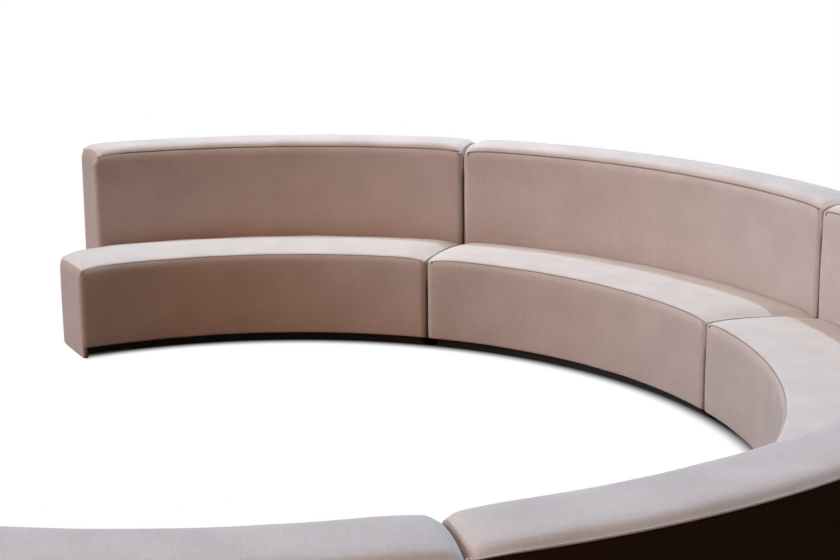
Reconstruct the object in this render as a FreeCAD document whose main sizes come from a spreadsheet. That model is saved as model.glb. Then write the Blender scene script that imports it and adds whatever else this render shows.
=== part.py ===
import FreeCAD, Part

import math
import os

import Sketcher

# A curved upholstered banquette: five wedge modules bolted into a ring that is open on one side.
# Lengths are millimetres and angles are degrees. The ring's open side faces -X.

# Driving sizes
SIZES = {
    # plan of the ring
    "seat_front_radius": 1950,
    "seat_depth": 540,
    "back_depth": 260,
    "module_angle": 48,
    "free_end_reach": 36,
    "free_end_inset": 270,
    "back_corner_radius": 40,
    "joint_clearance": 2,
    "pad_clearance": 0.3,
    "board_clearance": 1.3,
    # heights
    "panel_floor_gap": 6,
    "plinth_floor_gap": 10,
    "skirt_height": 55,
    "seat_seam_height": 440,
    "seat_fall": 36,
    "seat_pad_edge": 90,
    "back_seam_height": 870,
    "rear_seam_fall": 12,
    "top_pad_edge": 30,
    # upholstery
    "seat_crown": 26,
    "top_crown": 36,
    "front_pad": 30,
    "back_pad": 35,
    "front_bulge": 8,
    "back_bulge": 8,
    "seam_roll": 8,
    "end_roll": 170,
    "end_drop": 9,
    "trim_allowance": 5,
    "end_draw": 4,
    "end_panel": 28,
    "end_panel_lip": 16,
    # carcass
    "bent_board": 12,
    "top_board": 12,
    "deck_board": 15,
    "rib_board": 18,
    "rib_clearance": 0.5,
    "rib_rear_clearance": 1,
    "rib_window_margin": 70,
    "rib_window_corner": 45,
    # plinth and feet
    "plinth_board": 12,
    "plinth_front_recess": 50,
    "plinth_rear_recess": 30,
    "block_width": 70,
    "block_height": 35,
    "block_clearance": 0.3,
    "foot_radius": 25,
    "foot_height": 8,
    "stem_radius": 5,
    "stem_length": 39,
    "stem_fit": 0.1,
    # bolts between the modules
    "bolt_radius": 4,
    "bolt_hole_radius": 4.5,
    "bolt_head_radius": 8,
    "bolt_head_height": 6,
    "bolt_nut_fit": 0.1,
    "bolt_tail": 4,
    "bolt_seat_inset": 60,
    "bolt_back_height": 600,
}

# Sizes worked out from the driving ones
PLACES = {
    "seat_rear_height": "Sizes.seat_seam_height - Sizes.seat_fall",
    "rear_seam_height": "Sizes.back_seam_height - Sizes.rear_seam_fall",
    "back_face_radius": "Sizes.seat_front_radius + Sizes.seat_depth",
    "outer_radius": "back_face_radius + Sizes.back_depth",
    "front_board_radius": "Sizes.seat_front_radius + Sizes.front_pad + Sizes.board_clearance",
    "front_board_outer": "front_board_radius + Sizes.bent_board",
    "back_board_radius": "back_face_radius + Sizes.back_pad + Sizes.board_clearance",
    "back_board_outer": "back_board_radius + Sizes.bent_board",
    "outer_back_inner": "outer_radius - Sizes.bent_board",
    "carcass_outer": "outer_back_inner - Sizes.rib_clearance",
    "deck_top": "Sizes.seat_seam_height - Sizes.seat_pad_edge",
    "deck_bottom": "deck_top - Sizes.deck_board",
    "board_top": "Sizes.back_seam_height - Sizes.top_pad_edge",
    "upright_top": "board_top - Sizes.top_board",
    "panel_setback": "Sizes.joint_clearance + Sizes.end_panel",
    "carcass_setback": "panel_setback + Sizes.pad_clearance",
    "plinth_front_radius": "Sizes.seat_front_radius + Sizes.plinth_front_recess",
    "plinth_rear_radius": "outer_radius - Sizes.plinth_rear_recess",
    "plinth_front_inner": "plinth_front_radius + Sizes.plinth_board",
    "plinth_rear_inner": "plinth_rear_radius - Sizes.plinth_board",
    "plinth_inner_setback": "carcass_setback + Sizes.plinth_board",
    "front_panel_top": "Sizes.seat_seam_height - Sizes.end_panel_lip",
    "rear_panel_top": "seat_rear_height - Sizes.end_panel_lip",
    "rib_front": "front_board_outer + Sizes.rib_clearance",
    "rib_upright_front": "back_board_outer + Sizes.rib_clearance",
    "rib_rear": "outer_back_inner - Sizes.rib_rear_clearance",
    "back_end_offset": "Sizes.free_end_inset - Sizes.free_end_reach",
    "corner_centre": "sqrt(back_face_radius^2 - back_end_offset^2) - Sizes.free_end_inset",
    "panel_rise": "Sizes.top_pad_edge - Sizes.end_drop - Sizes.pad_clearance",
    "block_bottom": "Sizes.skirt_height - Sizes.block_height",
}

MODULE_COUNT = 5
# Ribs in a module, each on a bar across the plinth
RIB_COUNT = 3
# Cushion sections: steps in a module's angle, and shares of the end roll that they stand at
SECTION_COUNT = 10
END_SHARES = (0, 0.3, 1)
# Flats that stand for a small round, a crown and a bulge, to keep the model light
FLAT_COUNT = 6
CROWN_FLAT_COUNT = 6
TOP_FLAT_COUNT = 7
BULGE_FLAT_COUNT = 4
# How far plan outlines run inside and past the ring
INSIDE_SHARE = 0.5
OUTSIDE_SHARE = 1.4
BOLT_SEAT_HEIGHT_SHARE = 0.5

doc = FreeCAD.newDocument("banquette")
UP = FreeCAD.Vector(0, 0, 1)
nodes = []


def fill_sheet(name, rows):
    sheet = doc.addObject("Spreadsheet::Sheet", name)
    for row, (alias, content) in enumerate(rows, start=1):
        sheet.set(f"A{row}", alias)
        sheet.set(f"B{row}", content)
        sheet.setAlias(f"B{row}", alias)
    doc.recompute()
    return sheet


sizes = fill_sheet("Sizes", [(name, str(value)) for name, value in SIZES.items()])
places = fill_sheet("Places", [(name, "=" + formula) for name, formula in PLACES.items()])


def value(name):
    """The number behind a size or a worked-out place."""
    sheet = sizes if name in SIZES else places
    return float(sheet.get(name))


def cell(name):
    """The same, as an expression that a feature's size is bound to."""
    return f"Sizes.{name}" if name in SIZES else f"Places.{name}"


def half_angle():
    return math.radians(value("module_angle") / 2)


def module_azimuth(number):
    """The direction of a module's middle, from module 1 at one free end round to the last."""
    middle = (MODULE_COUNT + 1) / 2
    return (middle - number) * value("module_angle")


def module_placement(number):
    return FreeCAD.Placement(FreeCAD.Vector(), FreeCAD.Rotation(UP, module_azimuth(number)))


def is_free_end(number, side):
    """Module 1 ends the ring on its left side (+1) and the last module on its right (-1)."""
    return (number == 1 and side == 1) or (number == MODULE_COUNT and side == -1)


def keep(label, feature, placement=FreeCAD.Placement()):
    """Names a finished piece and puts it in its place in the ring."""
    feature.Label = label
    feature.Placement = placement
    nodes.append(feature)
    return feature


def solid_feature(name, shape):
    feature = doc.addObject("Part::Feature", name)
    feature.Shape = shape
    return feature


# Plan outlines of a module

def end_point(side, along, inward):
    """A plan point given along a module's joint plane from the ring's centre, and inward from it."""
    turn = half_angle()
    x = along * math.cos(turn) + inward * math.sin(turn)
    y = side * (along * math.sin(turn) - inward * math.cos(turn))
    return FreeCAD.Vector(x, y, 0)


def chain(points):
    return [Part.makeLine(first, second) for first, second in zip(points, points[1:])]


def free_end_edges(side, setback):
    """A free end's outline: a quarter round behind the seat, a step, and the back's round corner."""
    near = value("seat_front_radius") * INSIDE_SHARE
    far = value("outer_radius") * OUTSIDE_SHARE
    seat_end = setback - value("free_end_reach")
    back_end = seat_end + value("free_end_inset")
    centre = value("corner_centre")
    radius = value("free_end_inset") - setback
    slant = radius * math.sqrt(0.5)
    before = end_point(side, centre, seat_end)
    middle = end_point(side, centre + slant, value("back_end_offset") - slant)
    after = end_point(side, centre + radius, value("back_end_offset"))
    step = end_point(side, centre + radius, back_end)
    edges = chain([end_point(side, near, seat_end), before])
    edges.append(Part.Arc(before, middle, after).toShape())
    edges += chain([after, step])
    corner = value("back_corner_radius") - setback
    if corner <= 0:
        return edges + chain([step, end_point(side, far, back_end)])
    inward = value("back_end_offset") + value("back_corner_radius")
    turn_radius = value("outer_radius") - value("back_corner_radius")
    along = math.sqrt(turn_radius ** 2 - inward ** 2)
    hub = end_point(side, along, inward)
    out = FreeCAD.Vector(hub).normalize()
    start = end_point(side, along, back_end)
    finish = hub + out * corner
    halfway = hub + ((start - hub).normalize() + out).normalize() * corner
    edges += chain([step, start])
    edges.append(Part.Arc(start, halfway, finish).toShape())
    return edges + chain([finish, out * far])


def end_edges(number, side, setback):
    """The edges of a plan outline along one end, from inside the ring to outside it."""
    if is_free_end(number, side):
        return free_end_edges(side, setback)
    near = value("seat_front_radius") * INSIDE_SHARE
    far = value("outer_radius") * OUTSIDE_SHARE
    return chain([end_point(side, near, setback), end_point(side, far, setback)])


def plan_region(number, setback, low, high):
    """The upright block over a module's plan, with its ends set back from the joint planes."""
    left = end_edges(number, 1, setback)
    right = end_edges(number, -1, setback)
    inside = Part.makeLine(left[0].firstVertex(True).Point, right[0].firstVertex(True).Point)
    outside = Part.makeLine(left[-1].lastVertex(True).Point, right[-1].lastVertex(True).Point)
    outline = Part.Wire(Part.__sortEdges__(left + [outside, inside] + right))
    block = Part.Face(outline).extrude(UP * (high - low))
    block.translate(UP * low)
    return block


def region_feature(number, setback_name):
    """A module's plan block over the whole height, as a tool that trims rings to the module."""
    block = plan_region(number, value(setback_name), 0, value("back_seam_height"))
    return solid_feature(f"plan_{setback_name}_{number}", block)


def ring(name, inner, outer, low, high):
    """A full ring between two radii and two heights, all given by name."""
    cylinders = []
    for suffix, radius in (("outer", outer), ("inner", inner)):
        cylinder = doc.addObject("Part::Cylinder", f"{name}_{suffix}")
        cylinder.setExpression("Radius", cell(radius))
        cylinder.setExpression("Height", f"{cell(high)} - {cell(low)}")
        cylinder.setExpression("Placement.Base.z", cell(low))
        cylinder.Placement.Rotation = FreeCAD.Rotation(UP, 180)
        cylinders.append(cylinder)
    result = doc.addObject("Part::Cut", f"{name}_ring")
    result.Base, result.Tool = cylinders
    return result


def common(name, base, tool):
    feature = doc.addObject("Part::Common", name)
    feature.Base = base
    feature.Tool = tool
    return feature


def cut(name, base, tool):
    feature = doc.addObject("Part::Cut", name)
    feature.Base = base
    feature.Tool = tool
    return feature


def trimmed_ring(number, name, inner, outer, low, high, setback_name):
    whole = ring(f"{name}_{number}", inner, outer, low, high)
    return common(f"{name}_{number}_trim", whole, region_feature(number, setback_name))


# Cushions: sections in upright planes through the ring's axis, lofted along the module

def point(radius, height):
    return FreeCAD.Vector(radius, 0, height)


def line(start, end):
    return Part.makeLine(point(*start), point(*end))


def bowed(start, end, rise, flats):
    """A bowed line between two points of a section, as flats, rising to the left of its run."""
    run = point(*end) - point(*start)
    side = FreeCAD.Vector(-run.z, 0, run.x).normalize() * rise
    stops = []
    for index in range(flats + 1):
        share = index / flats
        stops.append(point(*start) + run * share + side * (4 * share * (1 - share)))
    return chain(stops)


def seat_overrun():
    """How far the seat's free end lies past the joint plane's direction, as an angle."""
    return math.asin(value("free_end_reach") / (value("seat_front_radius") - value("front_bulge")))


def back_overrun():
    """The same for the back's free end, which stops short of it."""
    return -math.asin(value("back_end_offset") / value("outer_radius"))


def end_turns(number, overrun):
    """The directions of a module's two ends as angles from its middle, right one first."""
    turns = [half_angle() + (overrun if is_free_end(number, side) else 0) for side in (-1, 1)]
    return -turns[0], turns[1]


def roll_turn(share):
    return share * value("end_roll") / value("back_face_radius")


def section_turns(number):
    """Where all cushions of a module have their sections, so that their flats run side by side."""
    step = 2 * half_angle() / SECTION_COUNT
    back_ends = end_turns(number, back_overrun())
    turns = {round(index * step, 6) for index in range(-SECTION_COUNT, SECTION_COUNT + 1)
             if back_ends[0] + roll_turn(1) + step / 2 < index * step < back_ends[1] - roll_turn(1) - step / 2}
    for overrun in (seat_overrun(), back_overrun()):
        ends = end_turns(number, overrun)
        for share in END_SHARES:
            turns.add(round(ends[0] + roll_turn(share), 6))
            turns.add(round(ends[1] - roll_turn(share), 6))
    return sorted(turns)


def lofted(number, section, overrun):
    """Lofts a cushion from end to end of a module. section(drop, draw) gives its outline."""
    low, high = end_turns(number, overrun)
    wires = []
    for turn in section_turns(number):
        distance = min(turn - low, high - turn)
        if distance > -1e-5:
            fall = max(0, 1 - distance / roll_turn(1)) ** 2
            wire = Part.Wire(section(fall * value("end_drop"), fall * value("end_draw")))
            wire.rotate(FreeCAD.Vector(), UP, math.degrees(turn))
            wires.append(wire)
    return Part.makeLoft(wires, True, True)


def seat_section(drop, draw):
    front = value("seat_front_radius") + draw
    seam = value("seat_seam_height") - drop
    rear = value("back_face_radius") - value("pad_clearance")
    low = value("deck_top") - value("trim_allowance")
    roll = value("seam_roll")
    inner = value("front_board_radius")
    mitre_start = (front + roll / 2, seam - roll / 2)
    roll_end = (front + roll, seam + roll / 2)
    rear_edge = (rear, value("seat_rear_height") - drop)
    edges = bowed(roll_end, rear_edge, value("seat_crown") - drop / 2, CROWN_FLAT_COUNT)
    corners = [rear_edge, (rear, low), (inner, low), (inner, seam - (inner - front)), mitre_start, roll_end]
    return edges + chain([point(*corner) for corner in corners])


def front_section(drop, draw):
    front = value("seat_front_radius") + draw
    seam = value("seat_seam_height") - drop
    bottom = value("skirt_height")
    inner = value("seat_front_radius") + value("front_pad")
    roll = value("seam_roll")
    gap = 2 * value("pad_clearance")
    low_end = (front, bottom + roll)
    high_start = (front, seam - roll)
    edges = bowed(low_end, high_start, value("front_bulge"), BULGE_FLAT_COUNT)
    mitre = (front + roll / 2, seam - roll / 2 - gap)
    corners = [high_start, mitre, (inner, seam - (inner - front) - gap), (inner, bottom)]
    corners += [(front + roll, bottom), low_end]
    return edges + chain([point(*corner) for corner in corners])


def back_section(drop, draw):
    face = value("back_face_radius")
    front = face + draw
    seam = value("back_seam_height") - drop
    low = value("deck_top") + value("pad_clearance")
    inner = face + value("back_pad")
    top = value("board_top")
    roll = value("seam_roll")
    gap = 2 * value("pad_clearance")
    seat_line = (face, value("seat_rear_height"))
    high_start = (front, seam - roll)
    edges = bowed(seat_line, high_start, value("back_bulge"), BULGE_FLAT_COUNT)
    corners = [high_start, (front + roll / 2, seam - roll / 2 - gap), (front + seam - top - gap, top)]
    corners += [(inner, top), (inner, low), (face, low), seat_line]
    return edges + chain([point(*corner) for corner in corners])


def top_section(drop, draw):
    front = value("back_face_radius") + draw
    seam = value("back_seam_height") - drop
    rear = value("outer_radius")
    low = value("board_top") - value("trim_allowance")
    roll = value("seam_roll")
    roll_start = (front + roll / 2, seam - roll / 2)
    roll_end = (front + roll, seam + roll / 2)
    rear_edge = (rear, value("rear_seam_height") - drop / 2)
    edges = bowed(roll_end, rear_edge, value("top_crown") - drop / 2, TOP_FLAT_COUNT)
    corners = [rear_edge, (rear, low), (front + seam - low, low), roll_start, roll_end]
    return edges + chain([point(*corner) for corner in corners])


# Upholstered end panels, which run down to the floor at both ends of a module

def panel_profile(floor, lift=0, overrun=0):
    """The face that an end panel's outline sweeps: under the seat's top, and up beside the back."""
    front = value("seat_front_radius")
    face = value("back_face_radius")
    rise = value("panel_rise")
    corners = [
        (front - overrun, floor),
        (value("carcass_outer"), floor),
        (value("carcass_outer"), value("board_top")),
        (face + rise, value("board_top")),
        (face, value("board_top") + rise),
        (face, value("rear_panel_top") + lift),
        (front, value("front_panel_top") + lift),
    ]
    if overrun:
        corners.append((front - overrun, value("front_panel_top") + lift))
    outline = [point(*corner) for corner in corners]
    return Part.Face(Part.makePolygon(outline + outline[:1]))


def swept_profile(face):
    """Turns a profile through a module's angle and a little more."""
    sweep = value("module_angle") * OUTSIDE_SHARE
    face.rotate(FreeCAD.Vector(), UP, -sweep / 2)
    return face.revolve(FreeCAD.Vector(), UP, sweep)


def prism(sides, radius, low, high):
    """An upright prism about the vertical axis, between two heights."""
    corners = [FreeCAD.Vector(radius, 0, low)]
    for index in range(1, sides):
        corners.append(FreeCAD.Rotation(UP, index * 360 / sides).multVec(corners[0]))
    return Part.Face(Part.makePolygon(corners + corners[:1])).extrude(UP * (high - low))


def bolt_places():
    """Where the bolts cross a joint: distance along the joint plane, and height."""
    seat_height = value("skirt_height") + (value("deck_bottom") - value("skirt_height")) * BOLT_SEAT_HEIGHT_SHARE
    seat_place = (value("rib_front") + value("bolt_seat_inset"), seat_height)
    back_place = ((value("rib_upright_front") + value("rib_rear")) / 2, value("bolt_back_height"))
    return [seat_place, back_place]


def bolt_holes(side, reach):
    holes = []
    for along, height in bolt_places():
        hole = prism(FLAT_COUNT, value("bolt_hole_radius"), -reach, reach)
        rotation = FreeCAD.Rotation(UP, end_point(side, 0, 1))
        hole.Placement = FreeCAD.Placement(end_point(side, along, 0) + UP * height, rotation)
        holes.append(hole)
    return holes


def end_panels(number):
    outer = plan_region(number, value("joint_clearance"), 0, value("back_seam_height"))
    inner = plan_region(number, value("panel_setback"), 0, value("back_seam_height"))
    body = swept_profile(panel_profile(value("panel_floor_gap")))
    panels = body.common(outer).cut(inner)
    for side in (1, -1):
        if not is_free_end(number, side):
            for hole in bolt_holes(side, 2 * value("end_panel")):
                panels = panels.cut(hole)
    return keep(f"end_panels_{number}", solid_feature("panels", panels), module_placement(number))


def beside_panels(number):
    """The space that a module's end panels take under the seat's top, with its clearance."""
    inner = plan_region(number, value("carcass_setback"), 0, value("back_seam_height"))
    return swept_profile(panel_profile(0, value("pad_clearance"), value("front_pad"))).cut(inner)


def cushions(number):
    place = module_placement(number)
    high = value("back_seam_height") + value("top_crown")
    outer, inner = "joint_clearance", "carcass_setback"
    forms = (
        ("seat", seat_section, seat_overrun(), outer, value("deck_top") + value("pad_clearance")),
        ("front", front_section, seat_overrun(), inner, value("skirt_height")),
        ("back", back_section, back_overrun(), inner, value("deck_top") + value("pad_clearance")),
        ("top", top_section, back_overrun(), outer, value("board_top") + value("pad_clearance")),
    )
    for name, section, overrun, setback, low in forms:
        shape = lofted(number, section, overrun)
        shape = shape.common(plan_region(number, value(setback), low, high))
        if name == "seat":
            shape = shape.cut(beside_panels(number))
        keep(f"{name}_cushion_{number}", solid_feature(name, shape.removeSplitter()), place)


# Bent and flat boards of the carcass

def module_boards(number):
    place = module_placement(number)
    boards = (
        ("outer_back", "outer_back_inner", "outer_radius", "skirt_height", "board_top", "joint_clearance"),
        ("seat_deck", "front_board_radius", "back_board_outer", "deck_bottom", "deck_top", "carcass_setback"),
        ("back_board", "back_board_radius", "back_board_outer", "deck_top", "upright_top", "carcass_setback"),
    )
    for name, *spans in boards:
        keep(f"{name}_{number}", trimmed_ring(number, name, *spans), place)


def shared_boards():
    """Boards that every module has alike, one solid for each module."""
    boards = (
        ("front_boards", "front_board_radius", "front_board_outer", "skirt_height", "deck_bottom"),
        ("top_boards", "back_board_radius", "carcass_outer", "upright_top", "board_top"),
    )
    for name, *spans in boards:
        group = doc.addObject("Part::Compound", name)
        links = []
        for number in range(1, MODULE_COUNT + 1):
            board = trimmed_ring(number, name, *spans, "carcass_setback")
            board.Placement = module_placement(number)
            links.append(board)
        group.Links = links
        keep(name, group)


def rib_turns():
    """Directions of a module's ribs and of the plinth bars under them, in radians."""
    step = 2 * half_angle() / (RIB_COUNT + 1)
    return [(index - (RIB_COUNT + 1) / 2) * step for index in range(1, RIB_COUNT + 1)]


def bay_share():
    """How near to the ring's centre the middle of a straight board across one bay comes."""
    return math.cos(half_angle() / (RIB_COUNT + 1))


def direction(turn, radius, height):
    return FreeCAD.Vector(radius * math.cos(turn), radius * math.sin(turn), height)


def plinth_space(number):
    """The bays inside a plinth, whose front and rear sides are straight."""
    step = 2 * half_angle() / (RIB_COUNT + 1)
    low = value("plinth_floor_gap")
    inner, outer = [], []
    for index in range(RIB_COUNT + 4):
        turn = (index - (RIB_COUNT + 3) / 2) * step
        inner.append(direction(turn, value("plinth_front_inner") / bay_share(), low))
        outer.append(direction(turn, value("plinth_rear_inner"), low))
    outline = inner + outer[::-1] + inner[:1]
    space = Part.Face(Part.makePolygon(outline)).extrude(UP * (value("skirt_height") - low))
    space = space.common(plan_region(number, value("plinth_inner_setback"), 0, value("skirt_height")))
    for turn in rib_turns():
        width, length = value("plinth_board"), value("outer_radius")
        bar = Part.makeBox(length, width, value("skirt_height"), FreeCAD.Vector(0, -width / 2, 0))
        bar.rotate(FreeCAD.Vector(), UP, math.degrees(turn))
        space = space.cut(bar)
    return space


def plinth(number):
    """A low frame: curved skirts, boards at its ends and a bar under each rib."""
    block = trimmed_ring(number, "plinth", "plinth_front_radius", "plinth_rear_radius",
                         "plinth_floor_gap", "skirt_height", "carcass_setback")
    bays = solid_feature(f"plinth_bays_{number}", plinth_space(number))
    keep(f"plinth_{number}", cut(f"plinth_frame_{number}", block, bays), module_placement(number))


# Ribs

def bound_polygon(sketch, corners):
    """Draws a closed outline whose corners are bound to sizes given as expressions."""
    count = len(corners)
    for index, (start, end) in enumerate(zip(corners, corners[1:] + corners[:1])):
        ends = [FreeCAD.Vector(sketch.evalExpression(x), sketch.evalExpression(y), 0)
                for x, y in (start, end)]
        sketch.addGeometry(Part.LineSegment(*ends))
    for index in range(count):
        sketch.addConstraint(Sketcher.Constraint("Coincident", index, 2, (index + 1) % count, 1))
    for index, corner in enumerate(corners):
        for kind, expression in zip(("DistanceX", "DistanceY"), corner):
            place = sketch.evalExpression(expression)
            row = sketch.addConstraint(Sketcher.Constraint(kind, -1, 1, index, 1, place))
            sketch.setExpression(f"Constraints[{row}]", expression)


def new_sketch(body, role, name):
    sketch = body.newObject("Sketcher::SketchObject", name)
    plane = [item for item in body.Origin.OriginFeatures if item.Role == role][0]
    sketch.AttachmentSupport = (plane, [""])
    sketch.MapMode = "FlatFace"
    doc.recompute()
    return sketch


def padded_plate(name, corners, window):
    """A plate cut to an outline, with one window through it where a window is given."""
    body = doc.addObject("PartDesign::Body", name)
    outline = new_sketch(body, "XZ_Plane", f"{name}_outline")
    bound_polygon(outline, corners)
    pad = body.newObject("PartDesign::Pad", f"{name}_pad")
    pad.Profile = outline
    pad.setExpression("Length", cell("rib_board"))
    pad.SideType = "Symmetric"
    doc.recompute()
    if window:
        opening = new_sketch(body, "XZ_Plane", f"{name}_window")
        bound_polygon(opening, window)
        pocket = body.newObject("PartDesign::Pocket", f"{name}_pocket")
        pocket.Profile = opening
        pocket.Type = "ThroughAll"
        pocket.Midplane = True
        doc.recompute()
    return body


def rib_body():
    front, upright, rear = cell("rib_front"), cell("rib_upright_front"), cell("rib_rear")
    low, seat, top = cell("skirt_height"), cell("deck_bottom"), cell("upright_top")
    margin, corner = cell("rib_window_margin"), cell("rib_window_corner")
    window_front = f"{front} + {margin}"
    return padded_plate(
        "rib",
        [(front, low), (rear, low), (rear, top), (upright, top), (upright, seat), (front, seat)],
        [
            (f"{window_front} + {corner}", f"{low} + {margin}"),
            (f"{upright} - {corner}", f"{low} + {margin}"),
            (upright, f"{low} + {margin} + {corner}"),
            (upright, f"{seat} - {margin} - {corner}"),
            (f"{upright} - {corner}", f"{seat} - {margin}"),
            (f"{window_front} + {corner}", f"{seat} - {margin}"),
            (window_front, f"{seat} - {margin} - {corner}"),
            (window_front, f"{low} + {margin} + {corner}"),
        ])


def ribs():
    plate = rib_body().Shape
    plates = []
    for number in range(1, MODULE_COUNT + 1):
        for turn in rib_turns():
            local = FreeCAD.Placement(FreeCAD.Vector(), FreeCAD.Rotation(UP, math.degrees(turn)))
            plates.append(plate.transformed(module_placement(number).multiply(local).toMatrix(), True))
    keep("ribs", solid_feature("ribs", Part.makeCompound(plates)))


# Levelling feet and the blocks that their stems screw into

def prism_feature(name, sides, radius, low, height):
    feature = doc.addObject("Part::Prism", name)
    feature.Polygon = sides
    feature.setExpression("Circumradius", radius)
    feature.setExpression("Height", height)
    feature.setExpression("Placement.Base.z", low)
    return feature


def foot_feature():
    """A levelling foot, with its stem upwards."""
    pad = prism_feature("foot_pad", FLAT_COUNT, cell("foot_radius"), "0 mm", cell("foot_height"))
    stem = prism_feature("foot_stem", FLAT_COUNT, cell("stem_radius"), cell("foot_height"), cell("stem_length"))
    foot = doc.addObject("Part::Fuse", "foot")
    foot.Base = pad
    foot.Tool = stem
    return foot


def block_feature():
    """A corner block, with the bore for a foot's stem."""
    box = doc.addObject("Part::Box", "block_body")
    box.setExpression("Length", cell("block_width"))
    box.setExpression("Width", cell("block_width"))
    box.setExpression("Height", cell("block_height"))
    box.setExpression("Placement.Base.x", f"-{cell('block_width')} / 2")
    box.setExpression("Placement.Base.y", f"-{cell('block_width')} / 2")
    box.setExpression("Placement.Base.z", cell("block_bottom"))
    bore_radius = f"{cell('stem_radius')} + {cell('stem_fit')}"
    bore = prism_feature("block_bore", FLAT_COUNT, bore_radius, cell("block_bottom"), cell("block_height"))
    return cut("block", box, bore)


def foot_places(number):
    """Plan points of a module's four feet, with the direction of the end that each stands by."""
    half = value("block_width") / 2
    spare = value("block_clearance")
    placed = []
    for side in (1, -1):
        front_inward = value("plinth_inner_setback") + spare + half
        front_along = value("plinth_front_inner") / bay_share() + spare + half
        rear_inward = front_inward
        if is_free_end(number, side):
            front_inward -= value("free_end_reach")
            rear_inward += value("back_end_offset")
        rim = value("plinth_rear_inner") * bay_share() - spare
        rear_along = math.sqrt(rim ** 2 - (rear_inward + half) ** 2) - half
        turn = side * math.degrees(half_angle())
        placed.append((end_point(side, front_along, front_inward), turn))
        placed.append((end_point(side, rear_along, rear_inward), turn))
    return placed


def feet():
    foot, block = foot_feature(), block_feature()
    doc.recompute()
    blocks = []
    for number in range(1, MODULE_COUNT + 1):
        place = module_placement(number)
        group = []
        for centre, turn in foot_places(number):
            local = FreeCAD.Placement(centre, FreeCAD.Rotation(UP, turn))
            matrix = place.multiply(local).toMatrix()
            group.append(foot.Shape.transformed(matrix, True))
            blocks.append(block.Shape.transformed(matrix, True))
        keep(f"levelling_feet_{number}", solid_feature("levelling_feet", Part.makeCompound(group)))
    keep("corner_blocks", solid_feature("corner_blocks", Part.makeCompound(blocks)))


# Bolts and nuts that hold neighbouring modules together

def bolts():
    grip = 2 * value("panel_setback")
    radius, head = value("bolt_head_radius"), value("bolt_head_height")
    tail = grip / 2 + head + value("bolt_tail")
    bolt = prism(FLAT_COUNT, value("bolt_radius"), -grip / 2, tail)
    bolt = bolt.fuse(prism(6, radius, -grip / 2 - head, -grip / 2)).removeSplitter()
    bore = prism(FLAT_COUNT, value("bolt_radius") + value("bolt_nut_fit"), 0, tail)
    nut = prism(6, radius, grip / 2, grip / 2 + head).cut(bore)
    bolt_group, nut_group = [], []
    for number in range(1, MODULE_COUNT):
        for along, height in bolt_places():
            centre = end_point(-1, along, 0) + UP * height
            towards_middle = 1 if number <= MODULE_COUNT / 2 else -1
            rotation = FreeCAD.Rotation(UP, end_point(-1, 0, towards_middle))
            local = FreeCAD.Placement(centre, rotation)
            matrix = module_placement(number).multiply(local).toMatrix()
            bolt_group.append(bolt.transformed(matrix, True))
            nut_group.append(nut.transformed(matrix, True))
    keep("joint_bolts", solid_feature("joint_bolts", Part.makeCompound(bolt_group)))
    keep("joint_nuts", solid_feature("joint_nuts", Part.makeCompound(nut_group)))


def build_modules():
    for number in range(1, MODULE_COUNT + 1):
        cushions(number)
        end_panels(number)
        module_boards(number)
        plinth(number)


def centre_on_floor():
    """Moves the ring so that its plan box is centred on the origin."""
    boxes = [node.Shape.optimalBoundingBox(True, False) for node in nodes]
    shift = FreeCAD.Vector(
        -(min(box.XMin for box in boxes) + max(box.XMax for box in boxes)) / 2,
        -(min(box.YMin for box in boxes) + max(box.YMax for box in boxes)) / 2, 0)
    for node in nodes:
        node.Placement = FreeCAD.Placement(node.Placement.Base + shift, node.Placement.Rotation)
    print(f"ring centre at x {shift.x:.3f} y {shift.y:.3f}")


def check_and_write():
    for item in doc.Objects:
        if "Invalid" in item.State or "Error" in item.State:
            raise RuntimeError(f"{item.Label} failed: {item.State}")
    os.makedirs("parts", exist_ok=True)
    for node in nodes:
        if node.Shape.isNull() or not node.Shape.isValid():
            raise RuntimeError(f"{node.Label} has no valid shape")
        node.Shape.exportStep(f"parts/{node.Label}.step")


build_modules()
shared_boards()
ribs()
feet()
bolts()
doc.recompute()
centre_on_floor()
doc.recompute()
check_and_write()
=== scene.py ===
"""Looks of the curved banquette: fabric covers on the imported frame, materials, light and camera."""

import math

import bmesh
import bpy
import numpy as np
from mathutils import Matrix, Vector


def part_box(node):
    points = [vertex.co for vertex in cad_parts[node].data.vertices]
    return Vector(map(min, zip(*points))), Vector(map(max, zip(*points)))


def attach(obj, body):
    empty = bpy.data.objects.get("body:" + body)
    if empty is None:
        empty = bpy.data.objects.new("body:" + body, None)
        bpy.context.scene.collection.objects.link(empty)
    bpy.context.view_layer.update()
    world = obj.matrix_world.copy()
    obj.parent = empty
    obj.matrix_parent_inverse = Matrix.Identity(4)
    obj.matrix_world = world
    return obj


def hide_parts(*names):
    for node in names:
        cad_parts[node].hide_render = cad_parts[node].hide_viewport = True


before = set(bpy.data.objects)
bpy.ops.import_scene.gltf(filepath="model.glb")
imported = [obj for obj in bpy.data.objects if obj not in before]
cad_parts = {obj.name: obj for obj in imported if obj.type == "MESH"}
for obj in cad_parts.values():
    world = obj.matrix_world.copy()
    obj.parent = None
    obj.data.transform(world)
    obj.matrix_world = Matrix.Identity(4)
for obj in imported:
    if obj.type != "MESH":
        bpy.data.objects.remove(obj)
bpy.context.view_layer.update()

# Plan of the ring, in metres and radians. Radii are measured from its centre.
MODULES = 5
SIDES = (-1, 1)
MODULE_ANGLE = math.radians(48)
HALF = MODULE_ANGLE / 2
SEAT_FRONT = 1.950
BACK_FACE = 2.490
OUTER = 2.750
CENTRE_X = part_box("outer_back_3")[1][0] - OUTER

# Ends of a module: half the gap at a joint, the seat's reach past a free end's plane, and the
# place of the back's free end behind it
JOINT = 0.002
END_REACH = 0.036
END_INSET = 0.270
BACK_END = END_INSET - END_REACH
END_ARC = math.sqrt(BACK_FACE ** 2 - BACK_END ** 2) - END_INSET
BACK_CORNER = 0.040
PANEL = 0.028

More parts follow.
